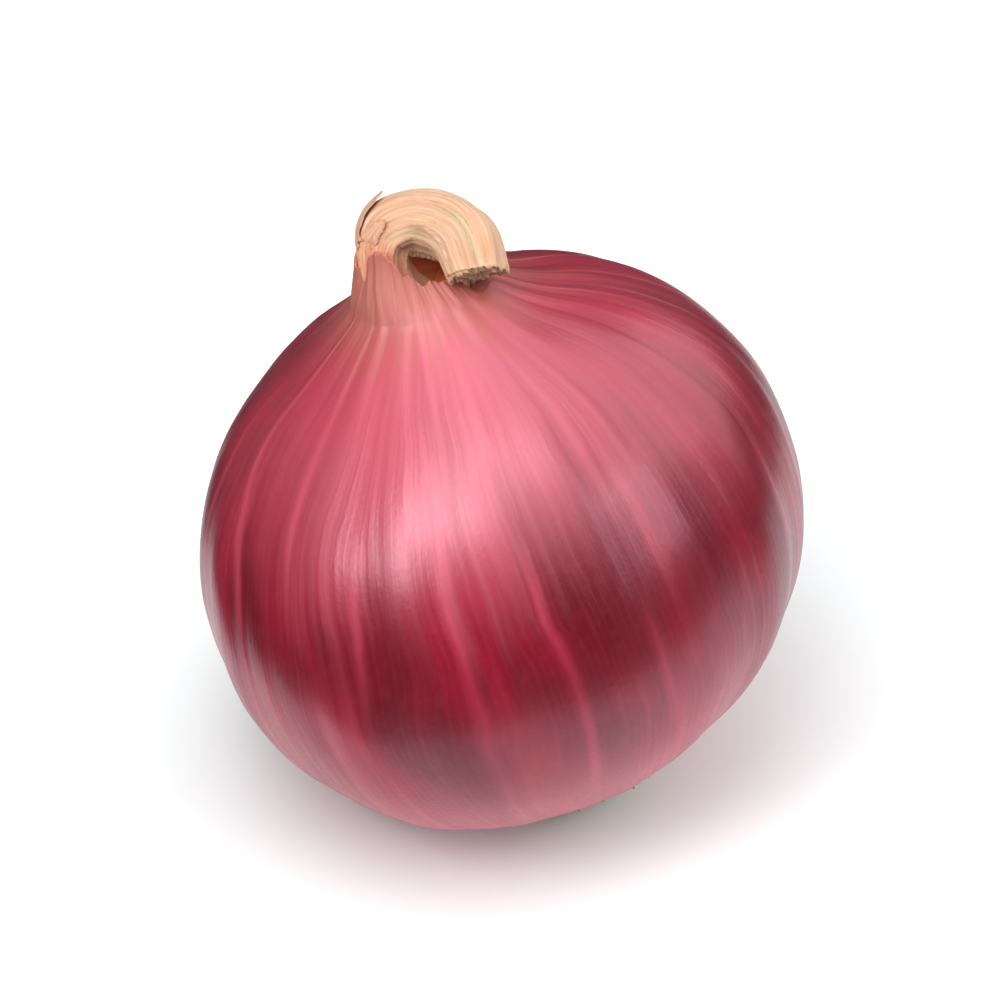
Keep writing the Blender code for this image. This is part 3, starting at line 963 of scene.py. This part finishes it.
class OnionRoots(bpy.types.PropertyGroup):
    """The root tuft"""

    count: IntProperty(name="Roots", description="How many roots are tried", default=210)
    shortest: length("Shortest", "Length of the shortest root", 1.3 * MM)
    longest: length("Longest", "Length of the longest root", 3.3 * MM)
    thinnest: length("Thinnest", "Radius of the thinnest root", 0.20 * MM)
    thickest: length("Thickest", "Radius of the thickest root", 0.46 * MM)
    curl: FloatProperty(name="Curl", description="How far a root swings sideways", default=0.7)
    joints: IntProperty(name="Joints", description="Bends along one root", default=9)
    seed: IntProperty(name="Seed", description="Another seed gives another tuft", default=11)


class OnionStudio(bpy.types.PropertyGroup):
    """The floor, the lights and the camera"""

    elevation: FloatProperty(
        name="Camera elevation",
        description="How far above the horizon the camera stands",
        default=math.radians(42),
        subtype="ANGLE",
    )
    distance: length("Camera distance", "From the onion", 0.75)
    view_width: length("View width", "Width of the view at the onion", 0.108)
    key_power: power("Key power", "Power of the light in front, on the left", 6.0)
    rear_power: power("Rear power", "Power of the light behind, on the right", 4.5)
    crown_power: power("Crown power", "Power of the light above the key", 4.0)
    side_power: power("Side power", "Power of the light on the right", 4.8)
    overhead_power: power("Overhead power", "Power of the light overhead", 14.0)
    sky: hue("Sky", "Colour of the light from all round", (0.80, 0.82, 0.86))
    sky_strength: FloatProperty(
        name="Sky strength", description="How much light comes from all round", default=0.30
    )
    floor_radius: length("Floor radius", "How far the floor reaches that the skin mirrors", 0.095)
    floor: hue("Floor", "Colour of the floor", (0.765, 0.795, 0.793))


class OnionSettings(bpy.types.PropertyGroup):
    """All that can be changed about the onion"""

    shape: PointerProperty(type=OnionShape)
    colours: PointerProperty(type=OnionColours)
    roots: PointerProperty(type=OnionRoots)
    studio: PointerProperty(type=OnionStudio)


class ONION_OT_skin(bpy.types.Operator):
    """Grow the onion's skin, from the cup at the top to the dip below"""

    bl_idname = "onion.skin"
    bl_label = "Grow skin"

    def execute(self, context):
        onion = context.scene.onion
        points, inside = skin_points(onion.shape)
        points = above_floor(points, onion_place())
        mesh = rows_mesh("onion_skin", points)
        mark(mesh, "inside", inside)
        place_piece("onion_skin", mesh, skin_look(onion.colours), ["bulb"])
        return {"FINISHED"}


class ONION_OT_neck(bpy.types.Operator):
    """Roll the dried neck out of the collar and over to its cut face"""

    bl_idname = "onion.neck"
    bl_label = "Roll neck"

    def execute(self, context):
        onion = context.scene.onion
        finish = neck_look(onion.colours)
        points, rolled, fibre, shadow = neck_points()
        mesh = rows_mesh("dried_neck", points)
        mark_place(mesh, "rolled", rolled)
        mark(mesh, "fibre", fibre)
        mark(mesh, "shadow", shadow)
        place_piece("dried_neck", mesh, finish, ["neck"])
        neck = points[::-1][:NECK_RINGS]
        for number, scrap in enumerate(SCRAPS):
            strip = scrap_points(neck, *scrap, seed=number * 5.3)
            mesh = rows_mesh(f"neck_scrap_{number + 1}", strip)
            share = np.linspace(scrap[0], scrap[1], len(strip))[:, None]
            spread = np.linspace(-scrap[3], scrap[3], strip.shape[1] // 2)
            turn = scrap[2] + np.concatenate((spread, spread[::-1]))
            mark_place(mesh, "rolled", rolled_place(turn[None, :], share))
            mark(mesh, "fibre", 0.5 + 0.8 * spot_noise(strip, 0.0009, number * 3.0))
            place_piece(mesh.name, mesh, finish)
        return {"FINISHED"}


class ONION_OT_roots(bpy.types.Operator):
    """Grow the root plate and its dried roots"""

    bl_idname = "onion.roots"
    bl_label = "Grow roots"

    def execute(self, context):
        onion = context.scene.onion
        finish = root_look(onion.colours)
        stand = onion_place()
        plate = rows_mesh("root_plate", above_floor(plate_points(), stand, 0.0001))
        mark(plate, "tone", np.full(len(plate.vertices), 0.3))
        place_piece("root_plate", plate, finish)
        place_piece("dried_roots", root_tuft(onion, stand), finish, ["roots"])
        return {"FINISHED"}


def aim(thing, place, target):
    """Puts a camera or a light somewhere, and points it at the target."""
    thing.location = place
    thing.rotation_euler = (target - place).to_track_quat("-Z", "Y").to_euler()


class ONION_OT_studio(bpy.types.Operator):
    """Set the floor, the lights and the camera"""

    bl_idname = "onion.studio"
    bl_label = "Set studio"

    def execute(self, context):
        scene = context.scene
        studio = scene.onion.studio
        low, high = CAD_BOX
        target = (low + high) / 2
        self.lay_floor(scene, studio)
        powers = {
            "key": studio.key_power,
            "crown": studio.crown_power,
            "overhead": studio.overhead_power,
            "side": studio.side_power,
            "rear": studio.rear_power,
        }
        for name, (place, size) in LIGHTS.items():
            self.hang_light(scene, name, Vector(place), target, powers[name], size)
        world = bpy.data.worlds.new("soft_sky")
        world.use_nodes = True
        background = world.node_tree.nodes["Background"]
        background.inputs["Color"].default_value = studio.sky
        background.inputs["Strength"].default_value = studio.sky_strength
        world.cycles_visibility.glossy = False
        scene.world = world
        scene.view_settings.view_transform = "Standard"
        scene.view_settings.gamma = DISPLAY_GAMMA
        lens = bpy.data.cameras.new("camera")
        lens.lens = lens.sensor_width * studio.distance / studio.view_width
        lens.clip_end = CAMERA_REACH
        camera = bpy.data.objects.new("camera", lens)
        scene.collection.objects.link(camera)
        back = Vector((0, -math.cos(studio.elevation), math.sin(studio.elevation)))
        aim(camera, target + back * studio.distance, target)
        scene.camera = camera
        return {"FINISHED"}

    def lay_floor(self, scene, studio):
        """A round floor just under the flat spot, and a backdrop that goes on from its edge and
        curves up all round into a pale wall. The skin mirrors the floor and not the backdrop, so
        it keeps its dark band."""
        finish = floor_look(studio.floor)
        reach = studio.floor_radius
        near = [(r, -FLOOR_DROP) for r in (0.0, reach / 2, reach)]
        bend = [math.radians(a) for a in range(0, 91, 10)]
        far = [(reach, -FLOOR_DROP)]
        far += [
            (BACKDROP_RADIUS + BACKDROP_BEND * math.sin(a), BACKDROP_BEND * (1 - math.cos(a)))
            for a in bend
        ]
        far += [(BACKDROP_RADIUS + BACKDROP_BEND, BACKDROP_TOP)]
        angles = np.linspace(0, math.tau, FLOOR_SIDES, endpoint=False)
        for name, section in (("floor", near), ("backdrop", far)):
            radius, height = (np.repeat(c[:, None], FLOOR_SIDES, 1) for c in np.array(section).T)
            points = np.stack((radius * np.cos(angles), radius * np.sin(angles), height), -1)
            points += FLOOR_MIDDLE
            mesh = rows_mesh(name, points[::-1], caps=(False, False))
            mesh.materials.append(finish)
            ground = bpy.data.objects.new(name, mesh)
            scene.collection.objects.link(ground)
            ground.visible_glossy = name == "floor"

    def hang_light(self, scene, name, place, target, power, size):
        """A soft rectangular light."""
        lamp = bpy.data.lights.new(name, "AREA")
        lamp.shape = "RECTANGLE"
        lamp.size, lamp.size_y = size
        lamp.energy = power
        light = bpy.data.objects.new(name, lamp)
        scene.collection.objects.link(light)
        aim(light, place, target)


class ONION_PT_panel(bpy.types.Panel):
    """Lists what can be grown and changed"""

    bl_idname = "ONION_PT_panel"
    bl_label = "Red onion"
    bl_space_type = "VIEW_3D"
    bl_region_type = "UI"
    bl_category = "Onion"

    def draw(self, context):
        onion = context.scene.onion
        for step in STEPS:
            self.layout.operator(step.bl_idname)
        for group in (onion.shape, onion.colours, onion.roots, onion.studio):
            column = self.layout.column(align=True)
            for key in group.__annotations__:
                column.prop(group, key)


STEPS = (ONION_OT_skin, ONION_OT_neck, ONION_OT_roots, ONION_OT_studio)
CLASSES = (OnionShape, OnionColours, OnionRoots, OnionStudio, OnionSettings, *STEPS, ONION_PT_panel)


def register():
    for kind in CLASSES:
        bpy.utils.register_class(kind)
    bpy.types.Scene.onion = PointerProperty(type=OnionSettings)


def unregister():
    del bpy.types.Scene.onion
    for kind in reversed(CLASSES):
        bpy.utils.unregister_class(kind)


def main():
    register()
    bpy.ops.onion.skin()
    bpy.ops.onion.neck()
    bpy.ops.onion.roots()
    bpy.ops.onion.studio()


if __name__ == "__main__":
    main()
